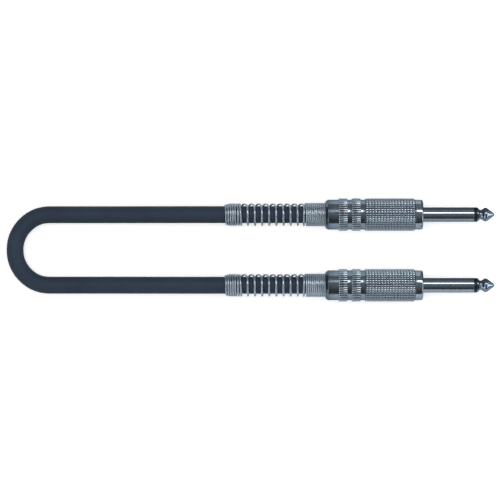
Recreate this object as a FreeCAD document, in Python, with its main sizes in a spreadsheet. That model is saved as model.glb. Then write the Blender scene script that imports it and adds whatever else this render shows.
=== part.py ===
import FreeCAD, Part
import math
import os
import re

import Sketcher

os.makedirs("parts", exist_ok=True)

V = FreeCAD.Vector

# Two straight 6.35 mm plugs lie side by side on a surface and point along +X.
# One shielded cable runs from the first plug, round a U at -X, back to the second.
# Each plug is drawn in its own frame: X along its axis towards the tip, zero where
# the shell's front edge meets the collar. Lengths are in millimetres.
SIZES = {
    # contact end
    "tip_length": 7.5,
    "tip_flange_radius": 2.95,
    "tip_neck_radius": 2.05,
    "tip_neck_from_ring": 1.45,
    "tip_ball_radius": 3.0,
    "tip_ball_from_ring": 3.65,
    "tip_nose_radius": 0.8,
    "tip_neck_curve": 2.0,
    "tip_ball_curve": 4.0,
    "tip_cone_curve": 14.0,
    "ring_length": 1.4,
    "rod_radius": 1.1,
    "rod_gap": 0.05,
    "liner_wall": 0.65,
    "sleeve_length": 22.2,
    "sleeve_radius": 3.175,
    "sleeve_edge": 0.2,
    "collar_length": 3.6,
    "collar_rise": 1.15,
    "collar_round": 0.9,
    # threaded spigot behind the collar, drawn at its crest diameter
    "spigot_length": 8.0,
    "thread_gap": 0.05,
    "relief_length": 0.8,
    "relief_depth": 0.4,
    "boss_radius": 2.9,
    "press_gap": 0.02,
    # solder terminals behind the spigot
    "lug_thickness": 0.75,
    "lug_tongue_wrap": 46.0,
    "clamp_gap": 0.05,
    "clamp_length": 6.0,
    "clamp_wrap": 236.0,
    "clamp_to_jacket_end": 0.8,
    "washer_length": 1.2,
    "washer_side_gap": 0.25,
    "tip_lug_thickness": 0.6,
    "tip_lug_width": 3.4,
    "tip_lug_top": 2.3,
    "tip_lug_side_gap": 0.65,
    "tip_lug_bend": 1.6,
    "tip_lug_rise": 1.2,
    "tip_lug_tongue": 3.8,
    "rivet_length": 0.7,
    "rivet_radius": 1.7,
    "solder_length": 3.2,
    "solder_width": 2.2,
    "solder_height": 2.0,
    "solder_gap": 0.03,
    # screw-on shell
    "barrel_length": 21.5,
    "band_length": 3.75,
    "waist_length": 2.0,
    "rear_length": 4.6,
    "rear_chamfer": 1.1,
    "rear_face_inset": 0.7,
    "shell_wall": 1.6,
    "knurl_edge": 0.25,
    "knurl_row_count": 17,
    "knurl_row_depth": 0.25,
    "knurl_row_width": 0.55,
    "waist_depth": 0.425,
    "rear_depth": 0.6,
    "spring_opening_gap": 0.19,
    "spring_seat_length": 5.0,
    # insulating tube between the ground lug and the shell
    "lug_side_gap": 0.4,
    "tube_wall": 0.45,
    "tube_side_gap": 0.15,
    "tube_end_gap": 0.3,
    # spring guard, front to tail; each gap is between the wire and the jacket
    "wire_radius": 0.31,
    "turn_gap": 0.43,
    "open_pitch": 3.1,
    "open_turns": 9,
    "tail_turns": 6,
    "close_length": 9.0,
    "close_jacket_gap": 0.69,
    "open_jacket_gap": 0.41,
    "tail_jacket_gap": 0.49,
    "tail_end_jacket_gap": 0.35,
    "flare_bore_gap": 0.09,
    "spring_end_gap": 0.1,
    # cable layers, from the middle outwards
    "conductor_radius": 0.5,
    "core_wall": 1.05,
    "carbon_wall": 0.2,
    "shield_wall": 0.55,
    "jacket_wall": 1.2,
    "layer_gap": 0.05,
    # how much of each layer is stripped bare inside the shell
    "conductor_end_gap": 1.05,
    "core_end_gap": 0.75,
    "carbon_strip": 1.0,
    "shield_strip": 1.3,
    "jacket_strip": 1.5,
    "shield_tail_radius": 0.7,
    "shield_tail_gap": 0.3,
    "shield_tail_length": 6.0,
    # how the two plugs lie
    "leg_spacing": 30.7,
}

# The cable's route in the part's frame, chosen by hand from the plan view: out of
# the first plug at axis height, down to the surface, round the U and back.
ROUTE = [
    (-80.0, 15.35, 7.1),
    (-104.0, 15.35, 3.7),
    (-141.4, 15.35, 3.7),
    (-150.2, 6.3, 3.7),
    (-150.2, -6.3, 3.7),
    (-141.4, -15.35, 3.7),
    (-104.0, -15.35, 3.7),
    (-80.0, -15.35, 7.1),
]
ARC_SHARE = 0.45
PLUGS = {"a": 1, "b": -1}

# How finely the springs' wire is drawn and measured.
ARCS_PER_TURN = 4
POINTS_PER_TURN = 48
TANGENT_STEP = 0.02

doc = FreeCAD.newDocument("InstrumentCable")
sheet = doc.addObject("Spreadsheet::Sheet", "Sizes")
for row, (alias, number) in enumerate(SIZES.items(), start=1):
    sheet.set("A%d" % row, alias)
    sheet.set("B%d" % row, str(number))
    sheet.setAlias("B%d" % row, alias)
doc.recompute()


def words(text):
    """Turn plain alias words into references to the sheet's cells."""
    return re.sub(r"[a-z][a-z_]+", lambda found: "Sizes." + found.group(), text)


def size(text):
    """The number that an expression of the sheet's aliases has now."""
    return float(sheet.evalExpression(words(text)))


# Radii from the cable outwards, as expressions of the driving sizes.
CORE = "(conductor_radius + layer_gap + core_wall)"
CARBON = "(" + CORE + " + layer_gap + carbon_wall)"
SHIELD = "(" + CARBON + " + layer_gap + shield_wall)"
JACKET = "(" + SHIELD + " + layer_gap + jacket_wall)"
LUG_INNER = "(" + JACKET + " + clamp_gap)"
LUG_OUTER = "(" + LUG_INNER + " + lug_thickness)"
TUBE_INNER = "(" + LUG_OUTER + " + lug_side_gap)"
TUBE_OUTER = "(" + TUBE_INNER + " + tube_wall)"
SHELL_BORE = "(" + TUBE_OUTER + " + tube_side_gap)"
SPIGOT = "(" + SHELL_BORE + " - thread_gap)"
COLLAR = "(" + SPIGOT + " + collar_rise)"
KNURL = "(" + SHELL_BORE + " + shell_wall)"
CLOSE_COIL = "(" + JACKET + " + close_jacket_gap + wire_radius)"
SPRING_OPENING = "(" + CLOSE_COIL + " + wire_radius + spring_opening_gap)"
WAIST = "(" + KNURL + " - waist_depth)"
REAR = "(" + KNURL + " - rear_depth)"
LINER = "(rod_radius + rod_gap + liner_wall)"
TAIL_DROP = "(" + LUG_INNER + " - shield_tail_gap - shield_tail_radius)"
TONGUE_TOP = "(conductor_radius + layer_gap)"
LUG_DROP = "(" + LUG_INNER + " - tip_lug_side_gap)"

# Stations along a plug's axis, forward of the shell's front edge and behind it.
SLEEVE_END = "(collar_length + sleeve_length)"
RING_END = "(" + SLEEVE_END + " + ring_length)"
TIP_END = "(" + RING_END + " + tip_length)"
LUG_FACE = "(spigot_length + lug_thickness)"
WASHER_END = "(" + LUG_FACE + " + washer_length)"
TIP_LUG_END = "(" + WASHER_END + " + tip_lug_thickness)"
RIVET_END = "(" + TIP_LUG_END + " + rivet_length)"
TONGUE_END = "(" + TIP_LUG_END + " + tip_lug_bend + tip_lug_rise + tip_lug_tongue)"
CONDUCTOR_START = "(" + RIVET_END + " + conductor_end_gap)"
CORE_START = "(" + TONGUE_END + " + core_end_gap)"
CARBON_START = "(" + CORE_START + " + carbon_strip)"
SHIELD_START = "(" + CARBON_START + " + shield_strip)"
JACKET_START = "(" + SHIELD_START + " + jacket_strip)"
CLAMP_START = "(" + JACKET_START + " + clamp_to_jacket_end)"
CLAMP_END = "(" + CLAMP_START + " + clamp_length)"
SHELL_LENGTH = "(barrel_length + 2 * band_length + 2 * waist_length + rear_length + rear_chamfer)"
SEAT = "(" + SHELL_LENGTH + " - spring_seat_length)"
FLARE = "(" + SEAT + " - spring_end_gap - wire_radius)"
CLOSE_PITCH = "(2 * wire_radius + turn_gap)"
CLOSE_END = "(" + SHELL_LENGTH + " + close_length)"
OPEN_END = "(" + CLOSE_END + " + open_turns * open_pitch)"
TAIL_END = "(" + OPEN_END + " + tail_turns * " + CLOSE_PITCH + ")"
TUBE_START = "(spigot_length + tube_end_gap)"
TUBE_END = "(" + FLARE + " - wire_radius - tube_end_gap)"
KNURL_PITCH = "(barrel_length / knurl_row_count)"
DATUM_X = "((" + TAIL_END + " + wire_radius - " + TIP_END + ") / 2)"
AXIS_HEIGHT = KNURL


def origin_plane(body, role):
    """The body's own origin plane of that role."""
    for feature in body.Origin.OriginFeatures:
        if feature.Role == role:
            return feature
    raise ValueError(role)


def put_at_plug(item, side):
    """Bind a piece's placement to its plug's place in the part's frame."""
    item.setExpression(".Placement.Base.x", words(DATUM_X))
    item.setExpression(".Placement.Base.y", words("%d * leg_spacing / 2" % side))
    item.setExpression(".Placement.Base.z", words(AXIS_HEIGHT))


def new_body(name, plug):
    """An empty body for one piece of a plug."""
    body = doc.addObject("PartDesign::Body", "%s_%s" % (name, plug))
    body.Label = "%s_%s" % (name, plug)
    put_at_plug(body, PLUGS[plug])
    return body


def arc_between(start, end, radius, side):
    """Arc of a circle, counterclockwise as sketches hold it, between two corners.

    Its centre lies left (side 1) or right (side -1) of the way from start to end.
    """
    chord = end - start
    left = V(-chord.y, chord.x, 0).normalize()
    rise = math.sqrt(radius ** 2 - (chord.Length / 2) ** 2)
    centre = (start + end) * 0.5 + left * (side * rise)
    first, second = (start, end) if side > 0 else (end, start)
    angles = [math.atan2(place.y - centre.y, place.x - centre.x) for place in (first, second)]
    return Part.ArcOfCircle(Part.Circle(centre, V(0, 0, 1), radius), *angles)


def outline(body, name, role, corners):
    """A closed sketch whose corners are bound to expressions of the sheet.

    A corner is (x, y), or (x, y, radius, side) where an arc runs to the next one.
    """
    sketch = body.newObject("Sketcher::SketchObject", "%s_%s" % (body.Name, name))
    sketch.AttachmentSupport = [(origin_plane(body, role), "")]
    sketch.MapMode = "FlatFace"
    places = [V(size(corner[0]), size(corner[1]), 0) for corner in corners]
    count = len(corners)
    ends = []
    for index, corner in enumerate(corners):
        start, end = places[index], places[(index + 1) % count]
        if len(corner) == 2:
            sketch.addGeometry(Part.LineSegment(start, end), False)
            ends.append((1, 2))
            continue
        sketch.addGeometry(arc_between(start, end, size(corner[2]), corner[3]), False)
        ends.append((1, 2) if corner[3] > 0 else (2, 1))
    for index in range(count):
        after = (index + 1) % count
        joined = Sketcher.Constraint("Coincident", index, ends[index][1], after, ends[after][0])
        sketch.addConstraint(joined)
    for index, corner in enumerate(corners):
        across = ("DistanceX", corner[0], places[index].x)
        up = ("DistanceY", corner[1], places[index].y)
        for kind, text, place in (across, up):
            at = sketch.addConstraint(Sketcher.Constraint(kind, -1, 1, index, ends[index][0], place))
            sketch.setExpression("Constraints[%d]" % at, words(text))
        if len(corner) > 2:
            at = sketch.addConstraint(Sketcher.Constraint("Radius", index, size(corner[2])))
            sketch.setExpression("Constraints[%d]" % at, words(corner[2]))
    return sketch


def turn(body, name, corners, kind="Revolution"):
    """Turn a profile (x along the axis, y the radius) right round the plug's axis."""
    sketch = outline(body, name + "_profile", "XY_Plane", corners)
    feature = body.newObject("PartDesign::" + kind, "%s_%s" % (body.Name, name))
    feature.Profile = (sketch, [""])
    feature.ReferenceAxis = (sketch, ["H_Axis"])
    feature.Angle = 360
    return feature


def sector(body, name, corners, wrap):
    """Turn a profile below the axis by a part turn, evenly to both sides."""
    sketch = outline(body, name + "_profile", "XZ_Plane", corners)
    feature = body.newObject("PartDesign::Revolution", "%s_%s" % (body.Name, name))
    feature.Profile = (sketch, [""])
    feature.ReferenceAxis = (sketch, ["H_Axis"])
    feature.Midplane = True
    feature.setExpression("Angle", words(wrap))
    return feature


def plug_tip(plug):
    """Turned tip contact with its long rod, riveted over behind the tip lug."""
    ball = RING_END + " + tip_ball_from_ring"
    neck = RING_END + " + tip_neck_from_ring"
    corners = [
        ("-" + RIVET_END, "0"),
        (TIP_END, "0"),
        (TIP_END, "tip_nose_radius", "tip_cone_curve", 1),
        (ball, "tip_ball_radius", "tip_ball_curve", 1),
        (neck, "tip_neck_radius", "tip_neck_curve", -1),
        (RING_END, "tip_flange_radius"),
        (RING_END, "rod_radius"),
        ("-" + TIP_LUG_END, "rod_radius"),
        ("-" + TIP_LUG_END, "rivet_radius"),
        ("-" + RIVET_END, "rivet_radius"),
    ]
    turn(new_body("plug_tip", plug), "turned", corners)


def tip_insulator(plug):
    """Moulded ring between tip and sleeve, with the liner that sleeves the rod."""
    corners = [
        ("-" + LUG_FACE, "rod_radius + rod_gap"),
        (RING_END, "rod_radius + rod_gap"),
        (RING_END, "sleeve_radius"),
        (SLEEVE_END, "sleeve_radius"),
        (SLEEVE_END, LINER),
        ("-" + LUG_FACE, LINER),
    ]
    turn(new_body("tip_insulator", plug), "moulding", corners)


def plug_body(plug):
    """Sleeve contact, collar, threaded spigot and staking boss in one turned piece."""
    bore = LINER + " + rod_gap"
    corners = [
        ("-" + LUG_FACE, bore),
        (SLEEVE_END, bore),
        (SLEEVE_END, "sleeve_radius - sleeve_edge"),
        (SLEEVE_END + " - sleeve_edge", "sleeve_radius"),
        ("collar_length", "sleeve_radius"),
        ("collar_length", COLLAR + " - collar_round", "collar_round", 1),
        ("collar_length - collar_round", COLLAR),
        ("0", COLLAR),
        ("0", SPIGOT + " - relief_depth"),
        ("-relief_length", SPIGOT + " - relief_depth"),
        ("-relief_length", SPIGOT),
        ("-spigot_length", SPIGOT),
        ("-spigot_length", "boss_radius"),
        ("-" + LUG_FACE, "boss_radius"),
    ]
    turn(new_body("plug_body", plug), "turned", corners)


def ground_lug(plug):
    """Stamped ring on the boss, with a tongue back to the ears that clamp the cable."""
    body = new_body("ground_lug", plug)
    ring = [
        ("-" + LUG_FACE, "boss_radius + press_gap"),
        ("-spigot_length", "boss_radius + press_gap"),
        ("-spigot_length", LUG_OUTER),
        ("-" + LUG_FACE, LUG_OUTER),
    ]
    tongue = [
        ("-" + CLAMP_END, "-" + LUG_OUTER),
        ("-spigot_length", "-" + LUG_OUTER),
        ("-spigot_length", "-" + LUG_INNER),
        ("-" + CLAMP_END, "-" + LUG_INNER),
    ]
    ears = [
        ("-" + CLAMP_END, "-" + LUG_OUTER),
        ("-" + CLAMP_START, "-" + LUG_OUTER),
        ("-" + CLAMP_START, "-" + LUG_INNER),
        ("-" + CLAMP_END, "-" + LUG_INNER),
    ]
    turn(body, "ring", ring)
    sector(body, "tongue", tongue, "lug_tongue_wrap")
    sector(body, "ears", ears, "clamp_wrap")


def rear_washer(plug):
    """Insulating washer between the ground lug and the tip lug."""
    corners = [
        ("-" + WASHER_END, "rod_radius + rod_gap"),
        ("-" + LUG_FACE, "rod_radius + rod_gap"),
        ("-" + LUG_FACE, LUG_INNER + " - washer_side_gap"),
        ("-" + WASHER_END, LUG_INNER + " - washer_side_gap"),
    ]
    turn(new_body("rear_washer", plug), "washer", corners)


def tip_lug(plug):
    """Bent strip riveted on the rod, its tongue joggled up under the conductor."""
    body = new_body("tip_lug", plug)
    back = TIP_LUG_END + " + tip_lug_bend"
    step = back + " + tip_lug_rise"
    low = "-" + LUG_DROP
    low_top = "-(" + LUG_DROP + " - tip_lug_thickness)"
    high = "-(" + TONGUE_TOP + " + tip_lug_thickness)"
    high_top = "-" + TONGUE_TOP
    corners = [
        ("-" + TONGUE_END, high),
        ("-(" + step + ")", high),
        ("-(" + back + ")", low),
        ("-" + WASHER_END, low),
        ("-" + WASHER_END, "tip_lug_top"),
        ("-" + TIP_LUG_END, "tip_lug_top"),
        ("-" + TIP_LUG_END, low_top),
        ("-(" + back + ")", low_top),
        ("-(" + step + ")", high_top),
        ("-" + TONGUE_END, high_top),
    ]
    sketch = outline(body, "strip_profile", "XZ_Plane", corners)
    strip = body.newObject("PartDesign::Pad", body.Name + "_strip")
    strip.Profile = (sketch, [""])
    strip.SideType = "Symmetric"
    strip.setExpression("Length", words("tip_lug_width"))
    hole = [
        ("-" + TIP_LUG_END, "0"),
        ("-" + WASHER_END, "0"),
        ("-" + WASHER_END, "rod_radius + press_gap"),
        ("-" + TIP_LUG_END, "rod_radius + press_gap"),
    ]
    turn(body, "rod_hole", hole, "Groove")


def insulating_tube(plug):
    """Plastic tube that keeps the shell off the terminals."""
    corners = [
        ("-" + TUBE_END, TUBE_INNER),
        ("-" + TUBE_START, TUBE_INNER),
        ("-" + TUBE_START, TUBE_OUTER),
        ("-" + TUBE_END, TUBE_OUTER),
    ]
    turn(new_body("insulating_tube", plug), "tube", corners)


def shell(plug):
    """Screw-on shell: knurled barrel, two knurled bands, plain rear end."""
    body = new_body("shell", plug)
    stations = [
        ("0", "barrel_length"),
        ("barrel_length + waist_length", "barrel_length + waist_length + band_length"),
        ("barrel_length + 2 * waist_length + band_length",
         "barrel_length + 2 * waist_length + 2 * band_length"),
    ]
    corners = [("0", SHELL_BORE)]
    for start, end in stations:
        corners += [
            ("-(" + start + ")", KNURL + " - knurl_edge" if start == "0" else WAIST),
            ("-(" + start + " + knurl_edge)", KNURL),
            ("-(" + end + " - knurl_edge)", KNURL),
            ("-(" + end + ")", WAIST if end != stations[-1][1] else REAR),
        ]
    corners += [
        ("-(" + SHELL_LENGTH + " - rear_chamfer)", REAR),
        ("-" + SHELL_LENGTH, REAR + " - rear_face_inset"),
        ("-" + SHELL_LENGTH, SPRING_OPENING),
        ("-" + SEAT, SPRING_OPENING),
        ("-" + SEAT, SHELL_BORE),
    ]
    turn(body, "turned", corners)
    doc.recompute()
    row_back = "-(" + KNURL_PITCH + " + knurl_row_width / 2)"
    row_front = "-(" + KNURL_PITCH + " - knurl_row_width / 2)"
    row = [
        (row_back, KNURL + " + knurl_edge"),
        (row_back, KNURL),
        ("-" + KNURL_PITCH, KNURL + " - knurl_row_depth"),
        (row_front, KNURL),
        (row_front, KNURL + " + knurl_edge"),
    ]
    groove = turn(body, "knurl_row", row, "Groove")
    doc.recompute()
    rows = body.newObject("PartDesign::LinearPattern", body.Name + "_knurl_rows")
    rows.Originals = [groove]
    rows.Direction = (groove.Profile[0], ["H_Axis"])
    rows.Reversed = True
    rows.setExpression("Length", words("(knurl_row_count - 2) * " + KNURL_PITCH))
    rows.setExpression("Occurrences", words("knurl_row_count - 1"))
    body.Tip = rows


def ellipsoid(name, plug, back, drop):
    """A solder blob with its middle at (-back, 0, -drop) in the plug's frame."""
    blob = doc.addObject("Part::Ellipsoid", "%s_%s_blob" % (name, plug))
    blob.setExpression("Radius1", words("solder_height / 2"))
    blob.setExpression("Radius2", words("solder_length / 2"))
    blob.setExpression("Radius3", words("solder_width / 2"))
    blob.setExpression(".Placement.Base.x", words("-(" + back + ")"))
    blob.setExpression(".Placement.Base.z", words("-(" + drop + ")"))
    return blob


def rod_along(name, radius, back, front, drop="0"):
    """A plain cylinder along the plug's axis, from -back to -front."""
    rod = doc.addObject("Part::Cylinder", name)
    rod.setExpression("Radius", words(radius))
    rod.setExpression("Height", words("(" + back + ") - (" + front + ")"))
    rod.Placement = FreeCAD.Placement(V(0, 0, 0), FreeCAD.Rotation(V(0, 1, 0), 90))
    rod.setExpression(".Placement.Base.x", words("-(" + back + ")"))
    rod.setExpression(".Placement.Base.z", words("-(" + drop + ")"))
    return rod


def solder_tip(plug):
    """Solder round the conductor's end on the tip lug's tongue."""
    name = "solder_tip_" + plug
    middle = TONGUE_END + " - tip_lug_tongue / 2"
    blob = ellipsoid("solder_tip", plug, middle, "conductor_radius / 2")
    wire = rod_along(name + "_wire", "conductor_radius + solder_gap", CORE_START, CONDUCTOR_START)
    strip = doc.addObject("Part::Box", name + "_strip")
    strip.setExpression("Length", words("tip_lug_tongue + solder_length"))
    strip.setExpression("Width", words("tip_lug_width"))
    strip.setExpression("Height", words("tip_lug_thickness + solder_height"))
    strip.setExpression(".Placement.Base.x", words("-" + TONGUE_END))
    strip.setExpression(".Placement.Base.y", words("-tip_lug_width / 2"))
    strip.setExpression(".Placement.Base.z",
                        words("-(" + TONGUE_TOP + " - solder_gap + tip_lug_thickness + solder_height)"))
    clear = doc.addObject("Part::MultiFuse", name + "_clear")
    clear.Shapes = [wire, strip]
    joint = doc.addObject("Part::Cut", name)
    joint.Base = blob
    joint.Tool = clear
    joint.Label = name
    put_at_plug(joint, PLUGS[plug])


def solder_ground(plug):
    """Solder between the shield's twisted tail and the ground lug's tongue."""
    name = "solder_ground_" + plug
    middle = JACKET_START + " - shield_tail_length + solder_length / 2"
    blob = ellipsoid("solder_ground", plug, middle, TAIL_DROP + " + shield_tail_radius / 2")
    inside = rod_along(name + "_inside", LUG_INNER + " - solder_gap", JACKET_START, LUG_FACE)
    kept = doc.addObject("Part::Common", name + "_kept")
    kept.Base = blob
    kept.Tool = inside
    tail = rod_along(name + "_tail", "shield_tail_radius + solder_gap", JACKET_START, LUG_FACE, TAIL_DROP)
    joint = doc.addObject("Part::Cut", name)
    joint.Base = kept
    joint.Tool = tail
    joint.Label = name
    put_at_plug(joint, PLUGS[plug])


def spring_stations():
    """Spring guard as (turn, distance behind the datum, coil radius), front to tail."""
    flare = size(SHELL_BORE + " - flare_bore_gap - wire_radius")
    close = size(CLOSE_COIL)
    opened_out = size(JACKET + " + open_jacket_gap + wire_radius")
    tail = size(JACKET + " + tail_jacket_gap + wire_radius")
    tail_end = size(JACKET + " + tail_end_jacket_gap + wire_radius")
    opened = (size(CLOSE_END) - size(FLARE)) / size(CLOSE_PITCH)
    closed = opened + size("open_turns")
    last = closed + size("tail_turns")
    front, pitch = size(FLARE), size(CLOSE_PITCH)
    return [
        (0, front, flare),
        (0.5, front, flare),
        (0.75, front, close),
        (1, front + pitch, close),
        (opened - 1, size(CLOSE_END) - pitch, close),
        (opened, size(CLOSE_END), opened_out),
        (closed, size(OPEN_END), opened_out),
        (closed + 1, size(OPEN_END) + pitch, tail),
        (last - 1, size(TAIL_END) - pitch, tail),
        (last, size(TAIL_END), tail_end),
    ]


def spring_point(stations, at):
    """Point of the wire's middle line, where `at` counts turns from the front."""
    for (turn0, back0, radius0), (turn1, back1, radius1) in zip(stations, stations[1:]):
        if at <= turn1:
            break
    share = (at - turn0) / (turn1 - turn0)
    back = back0 + share * (back1 - back0)
    radius = radius0 + share * (radius1 - radius0)
    angle = 2 * math.pi * at
    return V(-back, radius * math.sin(angle), radius * math.cos(angle))


def spring_tangent(stations, at, last):
    """Direction of the wire there, averaged over the stretch before and after."""
    before = spring_point(stations, max(at - TANGENT_STEP, 0))
    after = spring_point(stations, min(at + TANGENT_STEP, last))
    return (after - before).normalize()


def biarc(start, start_way, end, end_way):
    """Two tangent arcs from start to end that keep both end directions."""
    span = end - start
    ways = start_way + end_way
    spread = 2 * (1 - start_way.dot(end_way))
    reach = (-span.dot(ways) + math.sqrt(span.dot(ways) ** 2 + spread * span.dot(span))) / spread
    first = start + start_way * reach
    second = end - end_way * reach
    meeting = (first + second) * 0.5
    return [tangent_arc(start, first, meeting), tangent_arc(meeting, second, end)]


def tangent_arc(start, corner, end):
    """The arc that leaves start towards the corner and reaches end from it."""
    middle = (start + end) * 0.5
    half_chord = (end - start).Length / 2
    rise = (corner - middle).Length
    sagitta = half_chord * math.tan(math.atan2(rise, half_chord) / 2)
    return Part.Arc(start, middle + (corner - middle).normalize() * sagitta, end)


def least_gap(stations, last):
    """Least distance between the spring's own turns, from points of its middle line."""
    count = int(POINTS_PER_TURN * last)
    points = [spring_point(stations, index / POINTS_PER_TURN) for index in range(count)]
    pairs = [(near, far) for near in range(count)
             for far in range(near + POINTS_PER_TURN // 2, min(near + 2 * POINTS_PER_TURN, count))]
    return min((points[far] - points[near]).Length for near, far in pairs) - 2 * size("wire_radius")


def swept_tube(path, radius, centre, way):
    """Solid of a round section carried along a path of lines and arcs."""
    circle = Part.Wire([Part.Circle(centre, way, radius).toShape()])
    shell_maker = Part.BRepOffsetAPI.MakePipeShell(path)
    shell_maker.add(circle)
    shell_maker.build()
    shell_maker.makeSolid()
    return shell_maker.shape()


def spring(plug):
    """Coiled wire guard: a flared turn inside the shell, close turns, open turns, tail."""
    stations = spring_stations()
    last = stations[-1][0]
    steps = int(math.ceil(last * ARCS_PER_TURN))
    marks = [last * index / steps for index in range(steps + 1)]
    points = [spring_point(stations, mark) for mark in marks]
    ways = [spring_tangent(stations, mark, last) for mark in marks]
    stub = size("wire_radius")
    edges = [Part.LineSegment(points[0] - ways[0] * stub, points[0]).toShape()]
    for index in range(steps):
        after = index + 1
        edges += [arc.toShape() for arc in biarc(points[index], ways[index], points[after], ways[after])]
    edges.append(Part.LineSegment(points[-1], points[-1] + ways[-1] * stub).toShape())
    piece = doc.addObject("Part::Feature", "spring_" + plug)
    piece.Shape = swept_tube(Part.Wire(edges), size("wire_radius"), points[0] - ways[0] * stub, ways[0])
    piece.Label = "spring_" + plug
    put_at_plug(piece, PLUGS[plug])
    print("spring_%s: %.1f turns, least gap to itself %.3f mm" % (plug, last, least_gap(stations, last)))


def cable_path(start):
    """The route from inside one plug to inside the other, with its arcs' radii."""
    reach = size(DATUM_X) - start
    side, height = size("leg_spacing / 2"), size(AXIS_HEIGHT)
    corners = [V(reach, side, height)] + [V(*point) for point in ROUTE] + [V(reach, -side, height)]
    edges, radii = [], []
    here = corners[0]
    for before, corner, after in zip(corners, corners[1:], corners[2:]):
        way_in = (corner - before).normalize()
        way_out = (after - corner).normalize()
        half_turn = way_in.getAngle(way_out) / 2
        trim = ARC_SHARE * min((corner - before).Length, (after - corner).Length)
        radii.append(trim / math.tan(half_turn))
        arc_start = corner - way_in * trim
        arc_end = corner + way_out * trim
        edges.append(Part.LineSegment(here, arc_start).toShape())
        edges.append(tangent_arc(arc_start, corner, arc_end).toShape())
        here = arc_end
    edges.append(Part.LineSegment(here, corners[-1]).toShape())
    return Part.Wire(edges), radii


def cable_layer(name, start, outer, inner=None):
    """One layer of the cable, a tube or a solid wire, along the whole route."""
    path, radii = cable_path(size(start))
    centre = V(size(DATUM_X) - size(start), size("leg_spacing / 2"), size(AXIS_HEIGHT))
    solid = swept_tube(path, size(outer), centre, V(-1, 0, 0))
    section = math.pi * size(outer) ** 2
    if inner is not None:
        solid = solid.cut(swept_tube(path, size(inner), centre, V(-1, 0, 0)))
        section -= math.pi * size(inner) ** 2
    print("%s: length %.1f mm, volume %.1f mm3, section times length %.1f mm3"
          % (name, path.Length, solid.Volume, section * path.Length))
    piece = doc.addObject("Part::Feature", name)
    piece.Shape = solid
    piece.Label = name
    return piece, radii


def shield_tails(shield):
    """Add the two twisted tails, each combed out of the shield below its end."""
    tails = []
    for side in PLUGS.values():
        start = V(size(DATUM_X) - size(JACKET_START) + size("layer_gap"), side * size("leg_spacing / 2"),
                  size(AXIS_HEIGHT) - size(TAIL_DROP))
        length = size("shield_tail_length") - size("layer_gap")
        tails.append(Part.makeCylinder(size("shield_tail_radius"), length, start, V(1, 0, 0)))
    shield.Shape = shield.Shape.fuse(tails).removeSplitter()


def cable():
    """Conductor, core insulation, conductive layer, braided shield and jacket."""
    cable_layer("cable_conductor", CONDUCTOR_START, "conductor_radius")
    cable_layer("cable_core_insulation", CORE_START, CORE, "conductor_radius + layer_gap")
    cable_layer("cable_carbon_layer", CARBON_START, CARBON, CORE + " + layer_gap")
    shield, radii = cable_layer("cable_shield", SHIELD_START, SHIELD, CARBON + " + layer_gap")
    shield_tails(shield)
    cable_layer("cable_jacket", JACKET_START, JACKET, SHIELD + " + layer_gap")
    print("cable bend radii in mm: " + ", ".join("%.1f" % radius for radius in radii))


PLUG_PIECES = [
    plug_tip,
    tip_insulator,
    plug_body,
    ground_lug,
    rear_washer,
    tip_lug,
    insulating_tube,
    shell,
    solder_tip,
    solder_ground,
    spring,
]
CABLE_LAYERS = [
    "cable_conductor",
    "cable_core_insulation",
    "cable_carbon_layer",
    "cable_shield",
    "cable_jacket",
]

for plug_name in PLUGS:
    for make_piece in PLUG_PIECES:
        make_piece(plug_name)
cable()
doc.recompute()

for item in doc.Objects:
    if "Invalid" in item.State or "Error" in item.State:
        raise RuntimeError("%s did not build" % item.Name)

names = ["%s_%s" % (make_piece.__name__, plug_name) for plug_name in PLUGS for make_piece in PLUG_PIECES]
for name in names + CABLE_LAYERS:
    shape = doc.getObject(name).Shape
    if shape.isNull() or not shape.isValid() or shape.Volume <= 0:
        raise RuntimeError("%s has no sound shape" % name)
for name in names + CABLE_LAYERS:
    doc.getObject(name).Shape.exportStep("parts/%s.step" % name)
print("%d sub-parts written" % len(names + CABLE_LAYERS))
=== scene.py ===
import math

import bpy
import numpy as np
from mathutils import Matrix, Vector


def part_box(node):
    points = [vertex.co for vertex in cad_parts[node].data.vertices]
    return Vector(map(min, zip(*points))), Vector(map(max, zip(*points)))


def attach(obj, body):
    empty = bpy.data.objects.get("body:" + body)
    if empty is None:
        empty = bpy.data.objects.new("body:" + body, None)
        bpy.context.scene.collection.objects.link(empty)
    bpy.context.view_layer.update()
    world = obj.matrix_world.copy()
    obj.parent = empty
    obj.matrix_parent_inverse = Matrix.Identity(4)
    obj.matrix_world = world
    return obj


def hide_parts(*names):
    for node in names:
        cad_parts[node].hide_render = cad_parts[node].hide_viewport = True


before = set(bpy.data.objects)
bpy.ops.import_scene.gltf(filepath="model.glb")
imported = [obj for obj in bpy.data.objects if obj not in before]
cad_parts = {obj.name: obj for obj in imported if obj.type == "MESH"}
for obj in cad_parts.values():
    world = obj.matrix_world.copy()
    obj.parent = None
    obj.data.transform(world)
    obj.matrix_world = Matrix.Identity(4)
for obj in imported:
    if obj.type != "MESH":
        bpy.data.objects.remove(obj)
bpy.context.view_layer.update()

# Lengths are in millimetres until a mesh is made, which takes metres.
MM = 0.001
PLUGS = {"a": 1, "b": -1}

# Where a plug's shell begins, and how far its axis lies from the middle and above the floor.
SHELL_BOX = np.array(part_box("shell_a")) / MM
SHELL_FRONT = SHELL_BOX[1, 0]
SHELL_LENGTH = SHELL_BOX[1, 0] - SHELL_BOX[0, 0]
AXIS_SIDE = SHELL_BOX[:, 1].mean()
AXIS_HEIGHT = SHELL_BOX[:, 2].mean()

# Corners round a turned piece, and the radius at which a solid piece's profile begins and ends.
COLUMNS = 96
ON_AXIS = 0.02

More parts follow.
